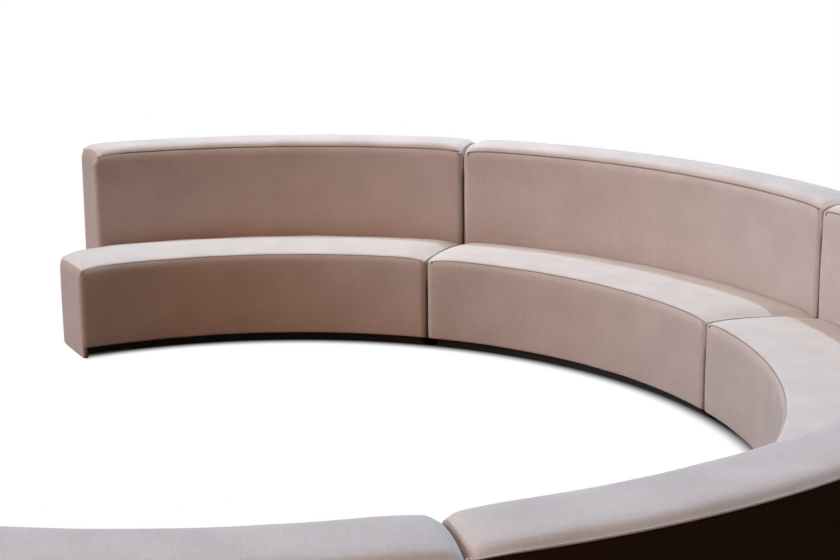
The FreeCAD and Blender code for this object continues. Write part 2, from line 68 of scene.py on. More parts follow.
# Heights of the bench
PANEL_LOW = 0.006
SKIRT = 0.055
SEAT_SEAM = 0.440
SEAT_REAR = 0.404
DECK_TOP = 0.350
BACK_SEAM = 0.862
REAR_SEAM = 0.858
BOARD_TOP = 0.840

# Crowns and bulges of the covers, and how full their curves are
SEAT_CROWN = 0.026
TOP_CROWN = 0.028
FACE_BULGE = 0.008
OUTER_BULGE = 0.003
CROWN_POWER = 2.3
TOP_POWER = 6.5
BULGE_POWER = 2.7
BULGE_ROUND = 0.084

# Where the swell of the face covers starts, and the back's lower edge behind the seat
BELOW_SKIRT = 0.03
BELOW_DECK = 0.04
ABOVE_DECK = 0.012

# At a free end: the last part of the depth, where the rounded outline runs into the rear edge, and
# the part of the width in which the points don't bend towards it
OUTLINE_END_SHARE = 0.03
STRAIGHT_SHARE = 0.45

# Droop of the covers towards a module's ends, and their roll down to the end panels
END_ROLL = 0.170
END_DROP = 0.009
SEAT_ROLL = 0.075
TOP_ROLL = 0.040
LIP = 0.014
SEAT_END_CROWN = 0.018
SEAT_END_SKEW = 0.8
TOP_END_CROWN = 0.027

# Rear edge of the back's top
REAR_LIP = 0.006
REAR_SINK = -0.003
REAR_ROUND = 0.024
PIPING = 0.0028
PIPING_SEAM = 1.7 * PIPING
# Painted shade on the piping's inner side, towards the cover
PIPING_SHADE = 0.1

# How far a seam draws in the covers. Pairs are for a joint and for a free end.
SEAT_PINCH = (0.004, 0.016)
TOP_PINCH = (0.008, 0.026)
PINCH = 0.009
PINCH_ROUND = 0.038
END_PINCH_ROUND = 0.042
OUTER_PINCH = 0.002
EDGE_RISE = 0.006
EDGE_ROUND = 0.014
SEAM_DROP = 0.0012

# Rounded corners in plan, and the turned-in edge of the skirt
CORNER = 0.028
OUTER_CORNER = 0.014
FREE_REAR_CORNER = 0.020
SMALL_CORNER = 0.006
SKIRT_ROUND = 0.011
SKIRT_TURN = 0.007

# End panels: rounded edges, the groove behind the front edge, the lean of a free end, and the
# setback of the legs at the joints
PANEL_START = 0.003
PANEL_SEAM_DROP = 0.0008
PANEL_EDGE = 0.005
PANEL_FRONT_ROUND = 0.010
GROOVE = 0.0007
GROOVE_PLACE = PANEL - 0.004
GROOVE_WIDTH = 0.003
SEAT_LEAN = 0.005
BACK_LEAN = 0.012
FOOT_LEAN_SHARE = 0.4
TOE = 0.060

# Unevenness of the padding: its size, how many waves it has, their range across and along, and
# how far from the covers' edges it starts
LUMP = 0.0011
WAVES = 9
WAVES_ACROSS = (2, 9)
WAVES_ALONG = (3, 14)
LUMP_START = 0.05
TOP_LUMP_START = 0.08
PANEL_LUMP_START = 0.12

# Inner sides of the covers, which don't show, and the painted shade on them
TUCK = 0.006
TUCK_DROP = 0.005
FACE_DEPTH = 0.018
OUTER_DEPTH = 0.011
INNER_SPARE = 0.004
INNER_BELOW_SEAM = (0.004, 0.014)
INNER_ABOVE_FOOT = (0.002, 0.0005)
PANEL_INNER_DROP = 0.001
PANEL_INNER_RISES = (0.052, 0.046, 0.001)
PANEL_END_SPARE = 0.001
BACK_SPARE = 0.0005
SEAT_FLOOR_RISE = 0.03
TOP_FLOOR_DROP = 0.004
HIDDEN_SHADE = 0.3
PANEL_HIDDEN_SHADE = 0.2

# Painted shade: how dark the fabric is painted in the gap of a joint, in it at the front, and next
# to a seam; and how much a painted highlight lightens a panel's seam
GAP_SHADE = 0.16
GAP_FRONT_SHADE = 0.5
GAP_WIDTH = 0.0035
SEAM_SHADE = 0.45
SEAM_SHADE_WIDTH = 0.003
PAINTED_SEAM_LIGHT = 0.22
SEAM_WIDTH = 0.004
TOP_HIGHLIGHT_START = 0.02

# Where the gap's painted shade starts and how fast it deepens: from the front, and down from the top
GAP_DEPTH_RUN = (0.020, 0.025)
GAP_TOP_RUN = (0.060, 0.080)

# How far the painted contact shadow's edge reaches under the bench and out from it
FLOOR_FADE = (0.078, 0.020)

# How far in from the free end's plane the painted contact shadow starts and is full, at the front
# and further back, and where in the seat's depth the one becomes the other
END_FADE = ((-0.020, -0.004), (0.140, 0.300))
END_FADE_DEPTH = (0.06, 0.22)

# How close together the points of a cover stand, near its ends and away from them
NEAR_STEP = 0.004
FAR_STEP = 0.036
FACE_STEPS = (0.0015, 0.030)
PANEL_STEPS = (0.0015, 0.040)
TOP_STEPS = (0.002, 0.028)
TOP_NEAR_STEP = 0.003
CORNER_POINTS = 9
END_ARC_POINTS = 33
PIPING_SIDES = 12

# Points of a mesh that stand closer than this are one
MERGE = 1e-5

# A levelling foot's outline as pairs of reach and height, its sides, and how far its points may
# stand from each other
FOOT_OUTLINE = (
    (0.0225, 0), (0.0245, 0.0012), (0.025, 0.0028), (0.025, 0.0055), (0.0242, 0.0072),
    (0.0225, 0.008), (0.0125, 0.0082), (0.0105, 0.0095), (0.0095, 0.0115), (0.005, 0.0122),
    (0.005, 0.046), (0.0042, 0.047))
FOOT_SIDES = 36
FOOT_SPREAD = 0.07

# Spacing of the fabric's threads
THREAD_PITCH = 0.0018

# Half the floor's width, and the camera's place from the ring's centre
FLOOR_REACH = 60
CAMERA_PLACE = (0.8867, -6.3413, 2.466)

# Distant lamps: azimuth, elevation, strength, colour and apparent width, with angles in degrees
SUNS = {
    "sun": (57, 59.5, 1.72, (0.56, 0.85, 1.0), 3),
    "overhead": (60, 82, 1.02, (1.0, 0.92, 0.72), 60),
    "left_fill": (185, 22, 1.88, (0.69, 0.89, 1.0), 36),
    "back_fill": (60, 35, 0.9, (0.12, 0.33, 1.0), 40),
    "front_fill": (225, 30, 1.03, (1.0, 0.43, 0.15), 50),
}


# Small helpers

def rounding(share):
    """Rises from 0 to 1 along a quarter round."""
    return np.sqrt(1 - (1 - np.clip(share, 0, 1)) ** 2)


def bent(share):
    """Rises from 0 to 1 along a shallow bend that ends level."""
    return 1 - (1 - np.clip(share, 0, 1)) ** 2


def eased(share):
    """Rises from 0 to 1 with level ends."""
    share = np.clip(share, 0, 1)
    return share * share * (3 - 2 * share)


def crowned(share, power):
    """0 at both ends and 1 in the middle; the higher the power, the fuller."""
    return 1 - np.abs(2 * np.clip(share, 0, 1) - 1) ** power


def stations(length, small=NEAR_STEP, large=FAR_STEP, growth=1.3):
    """Distances from 0 to length, close together at both ends."""
    marks, step = [0.0], small
    while marks[-1] + step < length / 2:
        marks.append(marks[-1] + step)
        step = min(step * growth, large)
    half = np.array(marks) * (length / 2 / marks[-1])
    return np.concatenate([half, length - half[-2::-1]])


def lumps(across, along, seed):
    """Slight unevenness of the padding, from a few long waves."""
    dice = np.random.default_rng(seed)
    total = np.zeros(np.broadcast(across, along).shape)
    for _ in range(WAVES):
        first, second = dice.uniform(*WAVES_ACROSS), dice.uniform(*WAVES_ALONG)
        phase, other = dice.uniform(0, 2 * math.pi, 2)
        total += np.sin(first * math.pi * across + phase) * np.sin(second * along + other)
    return total * LUMP / math.sqrt(WAVES)


# Plan geometry. A module's own x axis runs through its middle, from the ring's centre outwards.
# A place at one of its ends is given by its distances along the end's plane and inward of it.
# side is +1 for a module's left end, seen from the ring's centre, and -1 for its right one.

def is_free(number, side):
    """Module 1 ends the ring on its left side (+1) and the last module on its right (-1)."""
    return (number, side) in ((1, 1), (MODULES, -1))


def seat_inset(number, side):
    """Where the seat's end lies, inward of the end plane."""
    return JOINT - END_REACH if is_free(number, side) else JOINT


def back_inset(number, side):
    """Where the back's end lies, inward of the end plane."""
    return JOINT + BACK_END if is_free(number, side) else JOINT


def by_end(side, along, inward):
    """Plan points or directions from distances along a module's end plane and inward of it."""
    along, inward = np.broadcast_arrays(np.asarray(along, float), np.asarray(inward, float))
    x = along * math.cos(HALF) + inward * math.sin(HALF)
    y = side * (along * math.sin(HALF) - inward * math.cos(HALF))
    return np.stack([x, y], axis=-1)


def facing_end(normals, side):
    """How far each outward direction faces the way that a module's end does, from 0 to 1."""
    return np.clip(normals @ by_end(side, 0, -1), 0, 1)


def inward_of(plan, side):
    return plan[..., 0] * math.sin(HALF) - side * plan[..., 1] * math.cos(HALF)


def along_of(plan, side):
    return plan[..., 0] * math.cos(HALF) + side * plan[..., 1] * math.sin(HALF)


def in_ring(number, plan, height):
    """Points of a module in the frame's own place. The middle module lies on the x axis."""
    turn = ((MODULES + 1) / 2 - number) * MODULE_ANGLE
    x = plan[..., 0] * math.cos(turn) - plan[..., 1] * math.sin(turn) + CENTRE_X
    y = plan[..., 0] * math.sin(turn) + plan[..., 1] * math.cos(turn)
    return np.stack([x, y, np.broadcast_to(height, x.shape)], axis=-1)


def turned_corner(radius, facing, inset, corner):
    """The rounded corner between an end plane and a curved face, from the end plane onwards.
    facing is -1 for a face towards the ring's centre and +1 for one away from it."""
    hub_radius = radius - facing * corner
    hub_in = inset + corner
    hub_along = math.sqrt(hub_radius ** 2 - hub_in ** 2)
    slant = math.atan2(hub_in, hub_along)
    finish = slant if facing > 0 else slant - math.pi
    angles = np.linspace(-math.pi / 2, finish, CORNER_POINTS)
    normals = np.stack([np.cos(angles), np.sin(angles)], axis=-1)
    points = np.array([hub_along, hub_in]) + corner * normals
    return points, normals, HALF - slant


def face_path(radius, facing, insets, corners, wraps):
    """Plan points and outward directions of a curved face, with its rounded corners and the
    stretches that wrap on to its ends. Each pair is for the right end and the left one.
    A negative wrap leaves the corner out too."""
    ends, limits = [], []
    for side, inset, corner, wrap in zip(SIDES, insets, corners, wraps):
        points, normals, limit = turned_corner(radius, facing, inset, corner)
        limits.append(limit)
        if wrap < 0:
            ends.append((np.zeros((0, 2)), np.zeros((0, 2))))
            continue
        if wrap > corner:
            reach = points[0, 0] - facing * (wrap - corner) * np.array([1, 0.5])
            stretch = np.stack([reach, np.full(len(reach), inset)], axis=-1)
            points = np.concatenate([stretch, points])
            normals = np.concatenate([[[0, -1], [0, -1]], normals])
        ends.append((by_end(side, points[:, 0], points[:, 1])[:-1],
                     by_end(side, normals[:, 0], normals[:, 1])[:-1]))
    turns = stations(radius * sum(limits)) / radius - limits[0]
    radial = np.stack([np.cos(turns), np.sin(turns)], axis=-1)
    (right, right_out), (left, left_out) = ends
    points = np.concatenate([right, radial * radius, left[::-1]])
    normals = np.concatenate([right_out, radial * facing, left_out[::-1]])
    return points, normals


def flat_end_path(side, start, finish, inset):
    """A straight stretch along an end plane."""
    along = start + stations(finish - start)
    points = by_end(side, along, inset)
    normals = np.broadcast_to(by_end(side, 0, -1), points.shape)
    return points, normals


def seat_end_path(side, start):
    """The seat's free end: straight, then a quarter round back to the end of the back."""
    radius = END_INSET - JOINT
    straight = start + stations(END_ARC - start)
    angles = np.linspace(-math.pi / 2, 0, END_ARC_POINTS)[1:]
    along = np.concatenate([straight, END_ARC + radius * np.cos(angles)])
    inward = np.concatenate([np.full(len(straight), JOINT - END_REACH),
                             BACK_END + radius * np.sin(angles)])
    out_along = np.concatenate([np.zeros(len(straight)), np.cos(angles)])
    out_in = np.concatenate([np.full(len(straight), -1.0), np.sin(angles)])
    return by_end(side, along, inward), by_end(side, out_along, out_in)


def back_end_path(side, start):
    """The back's free end: straight, then round the rear corner."""
    points, normals, _ = turned_corner(OUTER, 1, BACK_END + JOINT, BACK_CORNER - JOINT)
    straight = start + stations(points[0, 0] - start)[:-1]
    flat = np.stack([straight, np.full(len(straight), BACK_END + JOINT)], axis=-1)
    points = np.concatenate([flat, points])
    normals = np.concatenate([np.broadcast_to([0.0, -1.0], flat.shape), normals])
    return by_end(side, points[:, 0], points[:, 1]), by_end(side, normals[:, 0], normals[:, 1])


def path_lengths(points):
    """How far along a path each of its points lies."""
    steps = np.linalg.norm(np.diff(points, axis=0), axis=1)
    return np.concatenate([[0], np.cumsum(steps)])


def end_gap(points, insets):
    """How far each plan point of a face lies from the nearer end plane."""
    gaps = [inward_of(points, side) - inset for side, inset in zip(SIDES, insets)]
    return np.minimum(*gaps)


def squared_gap(gap, corner):
    """The same distance as it would be if the corner were square."""
    return np.where(gap < corner, np.maximum(0, corner - math.sqrt(2) * (corner - gap)), gap)


# Heights

def fall(gap):
    """How much of the droop towards a module's end is reached."""
    return np.clip(1 - gap / END_ROLL, 0, 1) ** 2


def seam_line(gap, height, drop, lip):
    """Height of a seam, which droops and turns down at the ends."""
    return height - lip + (lip - drop * fall(gap)) * bent(gap / SEAT_ROLL)


def rear_line(gap):
    """Height of the seam along the rear top edge."""
    return seam_line(gap, REAR_SEAM - REAR_SINK, END_DROP / 2, REAR_LIP)


def seat_chord(radius):
    """Height of the seat's top without its crown."""
    share = np.clip((radius - SEAT_FRONT) / (BACK_FACE - SEAT_FRONT), 0, 1)
    return SEAT_SEAM + (SEAT_REAR - SEAT_SEAM) * share


def top_chord(radius):
    """Height of the back's top without its crown."""
    share = np.clip((radius - BACK_FACE) / (OUTER - BACK_FACE), 0, 1)
    return BACK_SEAM + (REAR_SEAM - BACK_SEAM) * share


def seat_end_line(radius):
    """Height of the seam along a seat's end."""
    share = (radius - SEAT_FRONT) / (BACK_FACE - SEAT_FRONT)
    return seat_chord(radius) - LIP + SEAT_END_CROWN * crowned(share ** SEAT_END_SKEW, CROWN_POWER)


def top_end_line(radius):
    """Height of the seam along the end of a back."""
    share = (radius - BACK_FACE) / (OUTER - BACK_FACE)
    return top_chord(radius) - LIP + TOP_END_CROWN * crowned(share, CROWN_POWER)


# Meshes

def in_scene(name, content):
    """An object in the scene that holds a mesh, a lamp or a camera."""
    holder = bpy.data.objects.new(name, content)
    bpy.context.scene.collection.objects.link(holder)
    return holder


def make_piece(name, points, uv, shade, closed):
    """A piece from a grid of points, with painted shade and painted highlights that darken or
    lighten its material at each point.
    A closed grid joins its last column to its first, and open edges are filled."""
    rows, columns = points.shape[:2]
    index = np.arange(rows * columns).reshape(rows, columns)
    if closed:
        index = np.concatenate([index, index[:, :1]], axis=1)
    quads = np.stack([index[:-1, :-1], index[1:, :-1], index[1:, 1:], index[:-1, 1:]], axis=-1)
    corners = np.stack([uv[:-1, :-1], uv[1:, :-1], uv[1:, 1:], uv[:-1, 1:]], axis=-2)
    mesh = bpy.data.meshes.new(name)
    mesh.from_pydata(points.reshape(-1, 3).tolist(), [], quads.reshape(-1, 4).tolist())
    mesh.uv_layers.new(name="UVMap").data.foreach_set("uv", corners.reshape(-1))
    mesh.attributes.new("shade", "FLOAT", "POINT").data.foreach_set("value", shade.reshape(-1))
    body = bmesh.new()
    body.from_mesh(mesh)
    bmesh.ops.remove_doubles(body, verts=body.verts, dist=MERGE)
    bmesh.ops.dissolve_degenerate(body, dist=MERGE, edges=body.edges)
    bmesh.ops.holes_fill(body, edges=[edge for edge in body.edges if edge.is_boundary])
    bmesh.ops.recalc_face_normals(body, faces=body.faces)
    for face in body.faces:
        face.smooth = True
    body.to_mesh(mesh)
    body.free()
    return in_scene(name, mesh)


def swept(name, number, path, offset, height, shade):
    """Sweeps a closed outline along a plan path. offset is out of the path and height is up.
    The path's points may differ from height to height."""
    points, normals = path
    if points.ndim == 2:
        points = points[:, None, :]
    plan = points + normals[:, None, :] * offset[..., None]
    lengths = np.repeat(path_lengths(points[:, 0])[:, None], offset.shape[1] + 1, axis=1)
    run = np.hypot(*(np.diff(part, axis=1, append=part[:, :1]) for part in (offset, height)))
    run = np.concatenate([np.zeros((len(points), 1)), np.cumsum(run, axis=1)], axis=1)
    uv = np.stack([lengths, run], axis=-1)
    return make_piece(name, in_ring(number, plan, height), uv, shade, True)


def finish_cover(piece, nodes, material):
    """Says what a cover rides on, stands for and is made of."""
    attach(piece, "bench")
    if nodes:
        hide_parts(*nodes)
    piece.data.materials.append(material)


# Covers on the curved faces

def seam_shade(distance):
    """Painted shade close to a seam along a curved edge."""
    return SEAM_SHADE + (1 - SEAM_SHADE) * eased(distance / SEAM_SHADE_WIDTH)


def joint_shade(points, number, insets):
    """Painted shade where a cover turns into the gap between two modules."""
    shade = np.ones(len(points))
    for side, inset in zip(SIDES, insets):
        if not is_free(number, side):
            gap = inward_of(points, side) - inset
            shade = np.minimum(shade, GAP_SHADE + (1 - GAP_SHADE) * eased(gap / GAP_WIDTH))
    return shade


def face_cover(name, number, path, insets, seam, low, foot, bulge, pinch, end_pinches, depth, seed):
    """A cover on a curved face, from the height low up to its seam. It swells from foot to seam,
    and draws in at the seam by pinch in the middle and by end_pinches at the ends."""
    gap = end_gap(path[0], insets)
    right, left = [inward_of(path[0], side) - inset for side, inset in zip(SIDES, insets)]
    at_end = np.where(right < left, *end_pinches)
    drawn = (pinch + (at_end - pinch) * (1 - eased(gap / CORNER)))[:, None]
    tall = float(np.max(seam)) - low
    share = stations(tall, *FACE_STEPS) / tall
    height = low + share[None, :] * (seam[:, None] - low)
    above = seam[:, None] - height
    below = height - low
    full = crowned((height - foot) / (seam[:, None] - foot), BULGE_POWER)
    swell = bulge * full * rounding(gap / BULGE_ROUND)[:, None]
    wave = lumps(path_lengths(path[0])[:, None], height, seed) * rounding(above / LUMP_START)
    offset = swell + wave - drawn * (1 - bent(above / PINCH_ROUND))
    offset -= SKIRT_TURN * (1 - rounding(below / SKIRT_ROUND))
    # Painted shade next to the seam, where the cover turns into a joint's gap, and on the hidden inner
    # side
    shade = seam_shade(above) * joint_shade(path[0], number, insets)[:, None]
    top_depth = max(depth, max(end_pinches) + INNER_SPARE)
    inner_offset = np.array([-top_depth, -top_depth, -depth, -depth / 2])
    inner_height = np.stack([*(seam - down for down in INNER_BELOW_SEAM),
                             *(np.full(len(seam), low + up) for up in INNER_ABOVE_FOOT)], axis=-1)
    offset = np.concatenate([offset, np.broadcast_to(inner_offset, inner_height.shape)], axis=1)
    height = np.concatenate([height, inner_height], axis=1)
    shade = np.concatenate([shade, np.full(inner_height.shape, HIDDEN_SHADE)], axis=1)
    return swept(name, number, path, offset, height, shade)


def face_covers(number, material):
    """The cover of the seat's front, and the one of the back's face."""
    for name, radius, height, inset_of, pinches, low, foot, seed in (
            ("front", SEAT_FRONT, SEAT_SEAM, seat_inset, SEAT_PINCH, SKIRT, SKIRT - BELOW_SKIRT, 10),
            ("back", BACK_FACE, BACK_SEAM, back_inset, TOP_PINCH, DECK_TOP + ABOVE_DECK,
             DECK_TOP - BELOW_DECK, 20)):
        insets = [inset_of(number, side) for side in SIDES]
        path = face_path(radius, -1, insets, (CORNER, CORNER), (PANEL, PANEL))
        gap = squared_gap(end_gap(path[0], insets), CORNER)
        seam = seam_line(gap, height, END_DROP, LIP) - SEAM_DROP
        piece = face_cover(f"{name}_cover_{number}", number, path, insets, seam, low, foot, FACE_BULGE,
                           PINCH, [pinches[is_free(number, side)] for side in SIDES], FACE_DEPTH,
                           seed + number)
        finish_cover(piece, [f"{name}_cushion_{number}"], material)


def rear_edge(number):
    """Insets and plan corners of the back's outer face, and which of its ends are free."""
    free = [is_free(number, side) for side in SIDES]
    corners = [BACK_CORNER - JOINT if end else OUTER_CORNER for end in free]
    return [back_inset(number, side) for side in SIDES], corners, free


def outer_cover(number, material):
    """The dark cover of the outer back. A free end's panel covers the corner there."""
    insets, corners, free = rear_edge(number)
    path = face_path(OUTER, 1, insets, corners, [-1 if end else OUTER_CORNER for end in free])
    seam = rear_line(squared_gap(end_gap(path[0], insets), OUTER_CORNER)) - PIPING_SEAM
    piece = face_cover(f"outer_cover_{number}", number, path, insets, seam, SKIRT, SKIRT, OUTER_BULGE,
                       OUTER_PINCH, [OUTER_PINCH] * 2, OUTER_DEPTH, 30 + number)
    finish_cover(piece, [f"outer_back_{number}"], material)


def rear_piping(number, material):
    """The thin welt in the seam between the top cover and the outer back."""
    insets, corners, free = rear_edge(number)
    path = face_path(OUTER, 1, insets, corners, corners)
    line = rear_line(squared_gap(end_gap(path[0], insets), OUTER_CORNER)) - PIPING
    turn = np.linspace(0, 2 * math.pi, PIPING_SIDES, endpoint=False)
    drawn_in = sum(TOP_PINCH[1] * facing_end(path[1], side) for side, end in zip(SIDES, free) if end)
    drawn_in = np.broadcast_to(drawn_in, line.shape)[:, None]
    offset = PIPING * np.cos(turn)[None, :] - PIPING / 2 - drawn_in
    height = line[:, None] + PIPING * np.sin(turn)[None, :]
    # Painted shade on the side of the piping that faces the cover
    shade = 1 - PIPING_SHADE * (1 - np.cos(turn))
    shade = np.array(np.broadcast_to(shade, offset.shape))
    piece = swept(f"rear_piping_{number}", number, path, offset, height, shade)
    finish_cover(piece, [], material)


# Covers on the module's ends

def slab(name, number, path, top, lean, pinch, joint, seed):
    """A padded panel that stands on edge along a path, up to the heights in top. It leans back by
    lean, and is drawn in by pinch at its top. Its top edge gets a painted highlight; at a joint it
    gets painted shade in the gap, and its leg is set back."""
    lengths = path_lengths(path[0])
    lean, pinch = (np.broadcast_to(much, lengths.shape)[:, None] for much in (lean, pinch))
    tall = float(np.max(top)) - PANEL_LOW
    share = stations(tall, *PANEL_STEPS) / tall
    height = PANEL_LOW + share[None, :] * (top[:, None] - PANEL_LOW)
    from_top = top[:, None] - height
    offset = -(pinch - lean) * (1 - bent(from_top / END_PINCH_ROUND))
    offset = offset - PANEL_EDGE * (1 - rounding((height - PANEL_LOW) / PANEL_EDGE))
    offset = offset - PANEL_FRONT_ROUND * (1 - rounding(lengths / PANEL_FRONT_ROUND))[:, None]
    offset = offset - GROOVE * (1 - eased((lengths - GROOVE_PLACE) / GROOVE_WIDTH))[:, None]
    rise = (height - PANEL_LOW) / (top[:, None] - PANEL_LOW)
    offset = offset - lean * (FOOT_LEAN_SHARE + (1 - FOOT_LEAN_SHARE) * rise ** 2)
    wave = lumps(lengths[:, None], height, seed)
    offset = offset + wave * eased(lengths / PANEL_LUMP_START)[:, None]
    inner_height = np.stack([top - PANEL_INNER_DROP,
                             *(np.full(len(top), PANEL_LOW + up) for up in PANEL_INNER_RISES)], axis=-1)
    offset = np.concatenate([offset, np.full(inner_height.shape, -PANEL)], axis=1)
    # Painted highlight along the top seam, and at a joint painted shade deeper in the gap
    shade = 1 + PAINTED_SEAM_LIGHT * (1 - eased(from_top / SEAM_WIDTH))
    if joint:
        deepening = eased((lengths[:, None] - GAP_DEPTH_RUN[0]) / GAP_DEPTH_RUN[1])
        deep = GAP_FRONT_SHADE + (GAP_SHADE - GAP_FRONT_SHADE) * deepening
        shade = shade * (deep + (1 - deep) * (1 - eased((from_top - GAP_TOP_RUN[0]) / GAP_TOP_RUN[1])))
    shade = np.concatenate([shade, np.full(inner_height.shape, PANEL_HIDDEN_SHADE)], axis=1)
    height = np.concatenate([height, inner_height], axis=1)
    points, normals = path
    if joint:
        below_skirt = eased((SKIRT - height) / (SKIRT - 2 * PANEL_LOW))
        setback = TOE * (1 - lengths[:, None] / lengths[-1]) * below_skirt
        outward = points / np.linalg.norm(points, axis=1)[:, None]
        points = points[:, None, :] + outward[:, None, :] * setback[..., None]
    return swept(name, number, (points, normals), offset, height, shade)


def paint_leg_shadow(piece, material):
    """Gives a panel's part below the skirt a black cover of its own, as painted shadow where the leg
    stands in deep shade.
    """
    piece.data.materials.append(material)
    body = bmesh.new()
    body.from_mesh(piece.data)
    bmesh.ops.bisect_plane(body, geom=body.verts[:] + body.edges[:] + body.faces[:],
                           plane_co=(0, 0, SKIRT), plane_no=(0, 0, 1))
    for face in body.faces:
        face.material_index = int(face.calc_center_median()[2] < SKIRT)
    body.to_mesh(piece.data)
    body.free()


def end_covers(number, material, leg_shadow_material):
    """Two panels for each end, one beside the seat and one beside the back."""
    for side, hand in ((1, "left"), (-1, "right")):
        free = is_free(number, side)
        inset = seat_inset(number, side)
        start = math.sqrt((SEAT_FRONT + PANEL_START) ** 2 - inset ** 2)
        if free:
            path = seat_end_path(side, start)
        else:
            path = flat_end_path(side, start, BACK_FACE + PANEL_START, inset)
        top = seat_end_line(np.hypot(*path[0].T)) - PANEL_SEAM_DROP
        seat_piece = slab(f"seat_end_{number}_{hand}", number, path, top, SEAT_LEAN if free else 0,
                          SEAT_PINCH[free], not free, 40 + number)
        inset = back_inset(number, side)
        start = math.sqrt((BACK_FACE + PANEL_START) ** 2 - inset ** 2)
        if free:
            path = back_end_path(side, start)
        else:
            path = flat_end_path(side, start, OUTER - OUTER_CORNER - PANEL_END_SPARE, inset)
        top = top_end_line(np.hypot(*path[0].T)) - PANEL_SEAM_DROP
        along_end = facing_end(path[1], side)
        back_piece = slab(f"back_end_{number}_{hand}", number, path, top,
                          (BACK_LEAN if free else 0) * along_end,
                          TOP_PINCH[free] * along_end, not free, 50 + number)
        for piece in (seat_piece, back_piece):
            finish_cover(piece, [f"end_panels_{number}"], material)
            # At a joint the leg below the skirt is painted black, as painted shadow
            if not free:
                paint_leg_shadow(piece, leg_shadow_material)


# Covers on top

def free_boundary(shares, inset):
    """The outline of the seat's free end, as distances along the end plane and inward of it."""
    radius = BACK_END - inset
    start = math.sqrt((SEAT_FRONT + PINCH) ** 2 - inset ** 2)
    straight = END_ARC - start
    total = straight + radius * math.pi / 2
    done = shares * total
    angle = np.clip((done - straight) / radius, 0, math.pi / 2) - math.pi / 2
    curved = done > straight
    along = np.where(curved, END_ARC + radius * np.cos(angle), start + done)
    inward = np.where(curved, BACK_END + radius * np.sin(angle), inset)
    return along, inward


def free_gap(plan, side, inset):
    """Distance of a plan point of the seat from its free end's outline. Further inward than the
    back's end it grows faster."""
    along, inward = along_of(plan, side), inward_of(plan, side)
    straight = inward - inset
    curved = BACK_END - inset - np.hypot(along - END_ARC, np.minimum(inward - BACK_END, 0))
    gap = np.where(along > END_ARC, curved, straight)
    return gap + 3 * np.maximum(0, inward - BACK_END)


def plan_grid(inner, outer, insets, free, shares, across):
    """Plan points of a cover at shares of its depth and of its width. At a free end the points
    bend to the rounded outline there."""
    depth, width = np.meshgrid(shares, across)
    radius = inner + depth * (outer - inner)
    limits = []
    for side, inset, is_round in zip(SIDES, insets, free):
        if is_round:
            along, inward = free_boundary(depth, inset)
            edge = np.hypot(along, inward)
            edge = edge + (outer - edge) * eased((depth - 1) / OUTLINE_END_SHARE + 1)
            limits.append(HALF - np.arctan2(inward, along))
            from_other = width if side > 0 else 1 - width
            blend = eased((from_other - STRAIGHT_SHARE) / (1 - STRAIGHT_SHARE))
            radius = radius + (edge - radius) * blend
        else:
            limits.append(HALF - np.arcsin(inset / radius))
    turn = -limits[0] + width * (limits[0] + limits[1])
    return np.stack([radius * np.cos(turn), radius * np.sin(turn)], axis=-1)


def round_corner(plan, side, inset, circle, facing, corner):
    """Moves the points near a square plan corner so that the corner becomes a round one."""
    radius = np.hypot(plan[..., 0], plan[..., 1])
    inward = inward_of(plan, side)
    first = (corner + facing * (radius - circle)) / corner
    second = (corner - (inward - inset)) / corner
    near = (first > 0) & (second > 0)
    first, second = np.clip(first, 0, 1), np.clip(second, 0, 1)
    new_first = first * np.sqrt(1 - second ** 2 / 2)
    new_second = second * np.sqrt(1 - first ** 2 / 2)
    new_radius = circle - facing * corner * (1 - new_first)
    new_inward = inset + corner * (1 - new_second)
    moved = by_end(side, np.sqrt(new_radius ** 2 - new_inward ** 2), new_inward)
    return np.where(near[..., None], moved, plan)


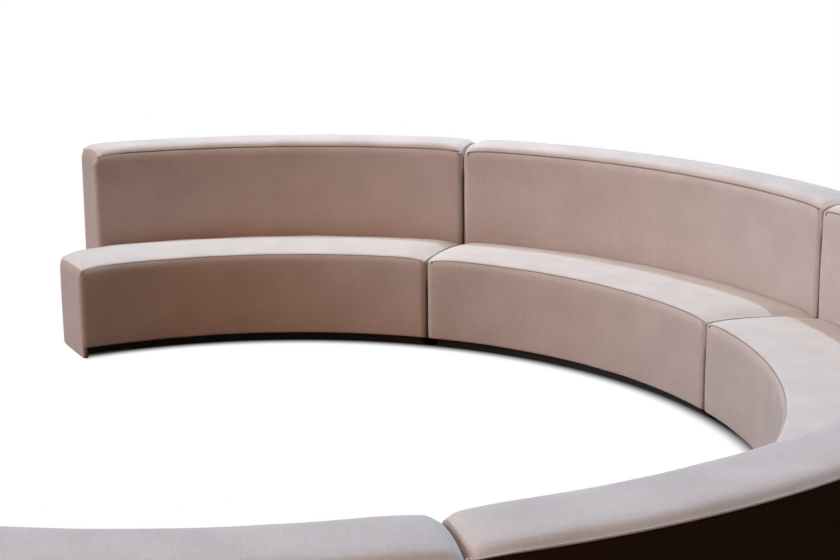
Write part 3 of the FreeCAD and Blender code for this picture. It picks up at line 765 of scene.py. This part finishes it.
def top_grid(name, number, inner, outer, insets, free, chord, crown, power, rear_drop, rear_low,
             floor, end_line, roll, front_corners, rear_corners, seed):
    """A cover on top of a module, closed below at the height floor. Its height is the chord's with a
    crown on it, less a droop towards the ends, which fades to rear_drop of itself at the rear. It
    rolls down to rear_low behind and, within roll, to end_line at the ends."""
    depth = outer - inner
    width = (inner + outer) / 2 * MODULE_ANGLE
    shares = stations(depth, *TOP_STEPS) / depth
    across = stations(width, TOP_NEAR_STEP, FAR_STEP) / width
    tucked_shares, tucked_across = TUCK / depth, TUCK / width
    plan = plan_grid(inner, outer, insets, free,
                     np.concatenate([[tucked_shares] * 2, shares, [1 - tucked_shares] * 2]),
                     np.concatenate([[tucked_across] * 2, across, [1 - tucked_across] * 2]))
    level = plan_grid(inner, outer, insets, free, np.concatenate([[0, 0], shares, [1, 1]]),
                      np.concatenate([[0, 0], across, [1, 1]]))
    for side, inset, front_corner, rear_corner in zip(SIDES, insets, front_corners, rear_corners):
        plan = round_corner(plan, side, inset, inner, -1, front_corner)
        if rear_corner:
            plan = round_corner(plan, side, inset, outer, 1, rear_corner)
    gaps = []
    for side, inset, is_round in zip(SIDES, insets, free):
        gaps.append(free_gap(level, side, inset) if is_round else inward_of(level, side) - inset)
    gap = np.maximum(np.minimum(*gaps), 0)
    radius = np.hypot(level[..., 0], level[..., 1])
    turn = np.arctan2(level[..., 1], level[..., 0])
    share = (radius - inner) / depth
    front = radius - inner
    rear = outer - radius
    droop = fall(gap)
    surface = chord(radius) - END_DROP * droop * (1 - (1 - rear_drop) * share)
    surface = surface + EDGE_RISE * bent(front / EDGE_ROUND) * (1 - share)
    surface = surface + (crown - END_DROP / 2 * droop) * crowned(share, power)
    wave = lumps(radius * 2, turn * inner * 2, seed)
    wave = wave * rounding(np.minimum(front, rear) / TOP_LUMP_START) * rounding(gap / TOP_LUMP_START)
    surface = surface + wave
    surface = rear_low(gap) + (surface - rear_low(gap)) * rounding(rear / REAR_ROUND)
    low = end_line(radius)
    height = low + (surface - low) * bent(gap / roll)
    # Painted shade next to the front and rear seams, a painted highlight along the end seams, and
    # painted shade on the tucked-in rim
    shade = seam_shade(np.minimum(front, rear))
    along_seam = eased(np.minimum(front, rear) / TOP_HIGHLIGHT_START)
    shade = shade + PAINTED_SEAM_LIGHT * (1 - eased(gap / SEAM_WIDTH)) * along_seam
    tucked, lowest = np.ones(height.shape, bool), np.ones(height.shape, bool)
    tucked[2:-2, 2:-2] = lowest[1:-1, 1:-1] = False
    height = np.where(lowest, floor, np.where(tucked, height - TUCK_DROP, height))
    shade = np.where(tucked, HIDDEN_SHADE, shade)
    uv = np.stack([turn * (inner + outer) / 2, radius], axis=-1)
    return make_piece(name, in_ring(number, plan, height), uv, shade, False)


def seat_rear(gap):
    """Height at which the seat's cover goes down behind, at the foot of the back."""
    return SEAT_REAR - LIP / 2 - END_DROP * fall(gap)


def seat_cover(number, material):
    pinches = [SEAT_PINCH[is_free(number, side)] for side in SIDES]
    piece = top_grid(f"seat_cover_{number}", number, SEAT_FRONT + PINCH, BACK_FACE - BACK_SPARE,
                     insets=[seat_inset(number, side) + pinch for side, pinch in zip(SIDES, pinches)],
                     free=[is_free(number, side) for side in SIDES],
                     chord=seat_chord, crown=SEAT_CROWN, power=CROWN_POWER, rear_drop=1,
                     rear_low=seat_rear, floor=DECK_TOP + SEAT_FLOOR_RISE, end_line=seat_end_line,
                     roll=SEAT_ROLL, front_corners=[CORNER - pinch for pinch in pinches],
                     rear_corners=(0, 0), seed=60 + number)
    finish_cover(piece, [f"seat_cushion_{number}"], material)


def top_cover(number, material):
    pinches = [TOP_PINCH[is_free(number, side)] for side in SIDES]
    piece = top_grid(f"top_cover_{number}", number, BACK_FACE + PINCH, OUTER,
                     insets=[back_inset(number, side) + pinch for side, pinch in zip(SIDES, pinches)],
                     free=(False, False), chord=top_chord, crown=TOP_CROWN, power=TOP_POWER,
                     rear_drop=0.5, rear_low=rear_line, floor=BOARD_TOP - TOP_FLOOR_DROP,
                     end_line=top_end_line, roll=TOP_ROLL,
                     front_corners=[max(CORNER - pinch, SMALL_CORNER) for pinch in pinches],
                     rear_corners=[FREE_REAR_CORNER if is_free(number, side) else OUTER_CORNER
                                   for side in SIDES], seed=70 + number)
    finish_cover(piece, [f"top_cushion_{number}"], material)


# Levelling feet

def foot_centres(node):
    """Plan centres of the separate feet in a node."""
    corners = np.array([vertex.co[:] for vertex in node.data.vertices])
    centres = []
    while len(corners):
        near = np.linalg.norm(corners[:, :2] - corners[0, :2], axis=1) < FOOT_SPREAD
        group = corners[near]
        centres.append((group.min(axis=0) + group.max(axis=0))[:2] / 2)
        corners = corners[~near]
    return centres


def turned_feet(number, material):
    """Round feet with rounded edges and a stem, in place of the frame's plain ones."""
    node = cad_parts[f"levelling_feet_{number}"]
    turn = np.linspace(0, 2 * math.pi, FOOT_SIDES, endpoint=False)
    body = bmesh.new()
    for x, y in foot_centres(node):
        rings = [[body.verts.new((x + reach * math.cos(angle), y + reach * math.sin(angle), height))
                  for angle in turn] for reach, height in FOOT_OUTLINE]
        for lower, upper in zip(rings, rings[1:]):
            for index in range(len(turn)):
                after = (index + 1) % len(turn)
                body.faces.new((lower[index], lower[after], upper[after], upper[index])).smooth = True
        body.faces.new(rings[0][::-1])
        body.faces.new(rings[-1])
    mesh = bpy.data.meshes.new(f"turned_feet_{number}")
    body.to_mesh(mesh)
    body.free()
    piece = in_scene(f"turned_feet_{number}", mesh)
    mesh.materials.append(material)
    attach(piece, f"feet_{number}")
    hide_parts(f"levelling_feet_{number}")


# Materials

def preset(node, **values):
    """Sets sockets of a node. An underscore stands for a space."""
    for name, content in values.items():
        node.inputs[name.replace("_", " ")].default_value = content


def new_material(name, roughness, metallic=0.0):
    material = bpy.data.materials.new(name)
    material.use_nodes = True
    shader = material.node_tree.nodes["Principled BSDF"]
    preset(shader, Roughness=roughness, Metallic=metallic)
    return material, material.node_tree, shader


def link_or_set(tree, socket, content):
    """Puts a number, a colour or another node's output on a socket."""
    if isinstance(content, bpy.types.NodeSocket):
        tree.links.new(content, socket)
    else:
        socket.default_value = content


def math_node(tree, operation, first, second=0, clamp=False):
    node = tree.nodes.new("ShaderNodeMath")
    node.operation = operation
    node.use_clamp = clamp
    link_or_set(tree, node.inputs[0], first)
    link_or_set(tree, node.inputs[1], second)
    return node.outputs[0]


def times(tree, first, second):
    return math_node(tree, "MULTIPLY", first, second)


def plus(tree, first, second, clamp=False):
    return math_node(tree, "ADD", first, second, clamp)


def scaled(tree, vector, scale):
    node = tree.nodes.new("ShaderNodeVectorMath")
    node.operation = "MULTIPLY"
    tree.links.new(vector, node.inputs[0])
    node.inputs[1].default_value = scale
    return node.outputs[0]


def noise(tree, vector, scale, detail, roughness=0.5):
    node = tree.nodes.new("ShaderNodeTexNoise")
    preset(node, Scale=scale, Detail=detail, Roughness=roughness)
    tree.links.new(vector, node.inputs["Vector"])
    return node.outputs["Fac"]


def bands(tree, vector, direction, scale, distortion):
    node = tree.nodes.new("ShaderNodeTexWave")
    node.bands_direction = direction
    preset(node, Scale=scale, Distortion=distortion)
    tree.links.new(vector, node.inputs["Vector"])
    return node


def ranged(tree, content, low, high, to_low, to_high):
    """Maps a range to another one, and holds what lies past it at its ends."""
    node = tree.nodes.new("ShaderNodeMapRange")
    preset(node, From_Min=low, From_Max=high, To_Min=to_low, To_Max=to_high)
    tree.links.new(content, node.inputs["Value"])
    return node.outputs["Result"]


def mixed(tree, amount, first, second):
    """Mixes two colours, first where amount is 0."""
    node = tree.nodes.new("ShaderNodeMix")
    node.data_type = "RGBA"
    tree.links.new(amount, node.inputs["Factor"])
    preset(node, A=(*first, 1), B=(*second, 1))
    return node.outputs["Result"]


def bumped(tree, shader, height, distance, strength):
    node = tree.nodes.new("ShaderNodeBump")
    preset(node, Distance=distance, Strength=strength)
    tree.links.new(height, node.inputs["Height"])
    tree.links.new(node.outputs["Normal"], shader.inputs["Normal"])


def fabric(name, thread, gap, sheen):
    """A plain weave with uneven threads. thread and gap are the colours on and between them."""
    material, tree, shader = new_material(name, 0.92)
    place = tree.nodes.new("ShaderNodeUVMap")
    place.uv_map = "UVMap"
    uv = place.outputs["UV"]
    threads = []
    for direction in ("X", "Y"):
        node = bands(tree, uv, direction, math.pi / 10 / THREAD_PITCH, distortion=0.6)
        preset(node, Detail_Scale=0.5)
        threads.append(node.outputs["Fac"])
    weave = times(tree, *threads)
    slubs = plus(tree, *(
        noise(tree, scaled(tree, uv, stretch), scale=1, detail=4, roughness=0.75)
        for stretch in ((9, 210, 1), (210, 9, 1))))
    depth = times(tree, ranged(tree, slubs, 0.70, 1.30, 0.25, 1), 0.65)
    tone = plus(tree, depth, times(tree, weave, 0.35), clamp=True)
    patchy = ranged(tree, noise(tree, uv, scale=5, detail=3), 0.3, 0.7, 0.93, 1.04)
    # The shade attribute scales the colour: painted shade and painted highlights from the covers, with
    # a random unevenness of tone
    shade = tree.nodes.new("ShaderNodeAttribute")
    shade.attribute_name = "shade"
    dimmed = tree.nodes.new("ShaderNodeVectorMath")
    dimmed.operation = "SCALE"
    tree.links.new(mixed(tree, tone, gap, thread), dimmed.inputs[0])
    tree.links.new(times(tree, patchy, shade.outputs["Fac"]), dimmed.inputs["Scale"])
    tree.links.new(dimmed.outputs[0], shader.inputs["Base Color"])
    preset(shader, Sheen_Weight=sheen, Sheen_Roughness=0.5, Specular_IOR_Level=0)
    relief = plus(tree, times(tree, weave, 0.6), times(tree, slubs, 0.5))
    waver = noise(tree, scaled(tree, uv, (60, 60, 1)), scale=1, detail=2)
    relief = plus(tree, relief, times(tree, waver, 0.4))
    bumped(tree, shader, relief, distance=0.0006, strength=0.55)
    return material


def plywood(name, light, dark, rough):
    material, tree, shader = new_material(name, rough)
    place = tree.nodes.new("ShaderNodeTexCoord").outputs["Object"]
    grain = noise(tree, scaled(tree, place, (3, 3, 42)), scale=2.5, detail=6, roughness=0.6)
    fine = noise(tree, scaled(tree, place, (20, 20, 400)), scale=1, detail=3)
    layers = bands(tree, place, "Z", 110, distortion=1.5).outputs["Fac"]
    streaks = plus(tree, times(tree, grain, 0.7), times(tree, layers, 0.25))
    tree.links.new(mixed(tree, streaks, dark, light), shader.inputs["Base Color"])
    bumped(tree, shader, plus(tree, streaks, fine), distance=0.0004, strength=0.3)
    return material


def stained_wood(name, dark, light, rough):
    material, tree, shader = new_material(name, rough)
    place = tree.nodes.new("ShaderNodeTexCoord").outputs["Object"]
    grain = noise(tree, scaled(tree, place, (6, 6, 90)), scale=2, detail=5, roughness=0.6)
    worn = noise(tree, place, scale=9, detail=4)
    tree.links.new(mixed(tree, grain, dark, light), shader.inputs["Base Color"])
    uneven = ranged(tree, worn, 0.3, 0.7, rough - 0.12, rough + 0.12)
    tree.links.new(uneven, shader.inputs["Roughness"])
    bumped(tree, shader, grain, distance=0.0004, strength=0.35)
    return material


def metal(name, dark, light, rough):
    material, tree, shader = new_material(name, rough, metallic=0.9)
    place = tree.nodes.new("ShaderNodeTexCoord").outputs["Object"]
    mottled = noise(tree, place, scale=160, detail=4)
    fine = noise(tree, place, scale=900, detail=2)
    tree.links.new(mixed(tree, mottled, dark, light), shader.inputs["Base Color"])
    uneven = ranged(tree, mottled, 0.3, 0.7, rough - 0.1, rough + 0.15)
    tree.links.new(uneven, shader.inputs["Roughness"])
    bumped(tree, shader, fine, distance=0.0001, strength=0.3)
    return material


def dress_nodes(materials):
    """Gives the frame's own nodes that stay in view their materials."""
    for name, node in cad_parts.items():
        for start, material in materials.items():
            if name.startswith(start):
                for slot in node.material_slots:
                    slot.material = material


# Stage, light and camera

def painted_contact_shadow(tree):
    """Painted contact shadow on the floor, by place: 0 under the bench, rising to 1 just in front of it
    and behind.
    """
    place = tree.nodes.new("ShaderNodeNewGeometry").outputs["Position"]
    split = tree.nodes.new("ShaderNodeSeparateXYZ")
    tree.links.new(place, split.inputs[0])
    x = math_node(tree, "SUBTRACT", split.outputs["X"], CENTRE_X)
    squares = plus(tree, times(tree, x, x), times(tree, split.outputs["Y"], split.outputs["Y"]))
    radius = math_node(tree, "SQRT", squares)
    off_middle = math_node(tree, "SUBTRACT", radius, (SEAT_FRONT + OUTER) / 2)
    half = (OUTER - SEAT_FRONT) / 2
    across = ranged(tree, math_node(tree, "ABSOLUTE", off_middle), half - FLOOR_FADE[0],
                    half + FLOOR_FADE[1], 0, 1)
    turn = math_node(tree, "ABSOLUTE", math_node(tree, "ARCTAN2", split.outputs["Y"], x))
    inward = times(tree, radius, math_node(tree, "SUBTRACT", MODULES * HALF, turn))
    near_front, near_rear = (ranged(tree, inward, *fade, 1, 0) for fade in END_FADE)
    rear_share = ranged(tree, radius, *(SEAT_FRONT + depth for depth in END_FADE_DEPTH), 0, 1)
    further = times(tree, rear_share, math_node(tree, "SUBTRACT", near_rear, near_front))
    past_end = plus(tree, near_front, further)
    open_share = math_node(tree, "MAXIMUM", across, past_end)
    rest = math_node(tree, "SUBTRACT", 3, times(tree, open_share, 2))
    return times(tree, times(tree, open_share, open_share), rest)


def by_ray(tree, output, seen, other):
    """Shows one shader to the camera and gives another one to all other light."""
    rays = tree.nodes.new("ShaderNodeLightPath")
    chosen = tree.nodes.new("ShaderNodeMixShader")
    tree.links.new(rays.outputs["Is Camera Ray"], chosen.inputs["Fac"])
    tree.links.new(other.outputs[0], chosen.inputs[1])
    tree.links.new(seen.outputs[0], chosen.inputs[2])
    tree.links.new(chosen.outputs[0], output.inputs["Surface"])


def floor_material():
    """White to the camera with a soft painted contact shadow, and dull to all other light."""
    material = bpy.data.materials.new("floor")
    material.use_nodes = True
    tree = material.node_tree
    tree.nodes.clear()
    matt = tree.nodes.new("ShaderNodeBsdfDiffuse")
    preset(matt, Color=(0.16, 0.11, 0.085, 1))
    glow = tree.nodes.new("ShaderNodeEmission")
    tree.links.new(mixed(tree, painted_contact_shadow(tree), (0, 0, 0), (1, 1, 1)), glow.inputs["Color"])
    by_ray(tree, tree.nodes.new("ShaderNodeOutputMaterial"), glow, matt)
    return material


def floor():
    mesh = bpy.data.meshes.new("floor")
    corners = [(x * FLOOR_REACH, y * FLOOR_REACH, 0) for x, y in ((-1, -1), (1, -1), (1, 1), (-1, 1))]
    mesh.from_pydata(corners, [], [(0, 1, 2, 3)])
    mesh.materials.append(floor_material())
    in_scene("floor", mesh)


def sky():
    """White behind the bench, and almost dark for everything else."""
    world = bpy.data.worlds.new("studio")
    bpy.context.scene.world = world
    world.use_nodes = True
    tree = world.node_tree
    tree.nodes.clear()
    dim, white = (tree.nodes.new("ShaderNodeBackground") for _ in range(2))
    preset(dim, Color=(1.0, 0.8, 0.65, 1), Strength=0.015)
    preset(white, Color=(1, 1, 1, 1))
    by_ray(tree, tree.nodes.new("ShaderNodeOutputWorld"), white, dim)


def sunlight(name, azimuth, elevation, strength, colour, softness):
    """A distant lamp that shines from a direction, given in degrees."""
    lamp = bpy.data.lights.new(name, "SUN")
    lamp.energy = strength
    lamp.color = colour
    lamp.angle = math.radians(softness)
    azimuth, elevation = math.radians(azimuth), math.radians(elevation)
    source = Vector((math.cos(elevation) * math.cos(azimuth), math.cos(elevation) * math.sin(azimuth),
                     math.sin(elevation)))
    in_scene(name, lamp).rotation_euler = source.to_track_quat("Z", "Y").to_euler()


def round_lamp(name, place, target, width, power, colour):
    """A round studio lamp at a place, measured from the ring's centre, that faces a target."""
    lamp = bpy.data.lights.new(name, "AREA")
    lamp.shape = "DISK"
    lamp.size = width
    lamp.energy = power
    lamp.color = colour
    holder = in_scene(name, lamp)
    holder.location = (CENTRE_X + place[0], place[1], place[2])
    holder.rotation_euler = (Vector(place) - Vector(target)).to_track_quat("Z", "Y").to_euler()


def camera():
    """The photograph's viewpoint, for a frame of 840 by 560."""
    heading, pitch, roll = math.radians(2.19), math.radians(14.53), math.radians(-0.59)
    forward = Vector((-math.sin(heading) * math.cos(pitch), math.cos(heading) * math.cos(pitch),
                      -math.sin(pitch)))
    right = Vector((math.cos(heading), math.sin(heading), 0))
    up = right.cross(forward)
    turned_right = right * math.cos(roll) + up * math.sin(roll)
    turned_up = up * math.cos(roll) - right * math.sin(roll)
    lens = bpy.data.cameras.new("camera")
    lens.sensor_width = 36
    lens.lens = 77.14
    lens.clip_end = 200
    holder = in_scene("camera", lens)
    rotation = Matrix((turned_right, turned_up, -forward)).transposed().to_4x4()
    holder.matrix_world = Matrix.Translation(Vector(CAMERA_PLACE) + Vector((CENTRE_X, 0, 0))) @ rotation
    bpy.context.scene.camera = holder


bpy.context.scene.view_settings.view_transform = "Standard"
camera()
light_fabric = fabric("light_fabric", (0.64, 0.56, 0.555), (0.44, 0.365, 0.35), sheen=0)
dark_fabric = fabric("dark_fabric", (0.062, 0.042, 0.034), (0.034, 0.022, 0.017), sheen=0.05)
# Near-black cover for the legs at the joints: painted shadow where they stand in deep shade
leg_shadow_fabric = fabric("leg_shadow_fabric", (0.010, 0.008, 0.007), (0.005, 0.004, 0.004), sheen=0)
for module in range(1, MODULES + 1):
    seat_cover(module, light_fabric)
    face_covers(module, light_fabric)
    top_cover(module, light_fabric)
    end_covers(module, light_fabric, leg_shadow_fabric)
    outer_cover(module, dark_fabric)
    rear_piping(module, light_fabric)
black_steel = metal("black_steel", (0.012, 0.012, 0.013), (0.03, 0.03, 0.032), 0.45)
for module in range(1, MODULES + 1):
    turned_feet(module, black_steel)
birch = plywood("birch_plywood", (0.62, 0.46, 0.29), (0.44, 0.29, 0.16), 0.6)
dress_nodes({
    "plinth": stained_wood("black_stain", (0.004, 0.0035, 0.003), (0.014, 0.011, 0.009), 0.6),
    "seat_deck": birch, "back_board": birch, "ribs": birch, "front_boards": birch, "top_boards": birch,
    "corner_blocks": birch,
    "joint_bolts": metal("zinc_bolts", (0.42, 0.42, 0.40), (0.62, 0.62, 0.60), 0.35),
    "joint_nuts": metal("zinc_nuts", (0.40, 0.40, 0.38), (0.60, 0.60, 0.58), 0.4),
})
floor()
sky()
round_lamp("over_far_side", (0.5, 3.4, 4.6), (0.3, 2.3, 0.6), 2.5, 118, (0.86, 0.98, 1.0))
for lamp_name, settings in SUNS.items():
    sunlight(lamp_name, *settings)
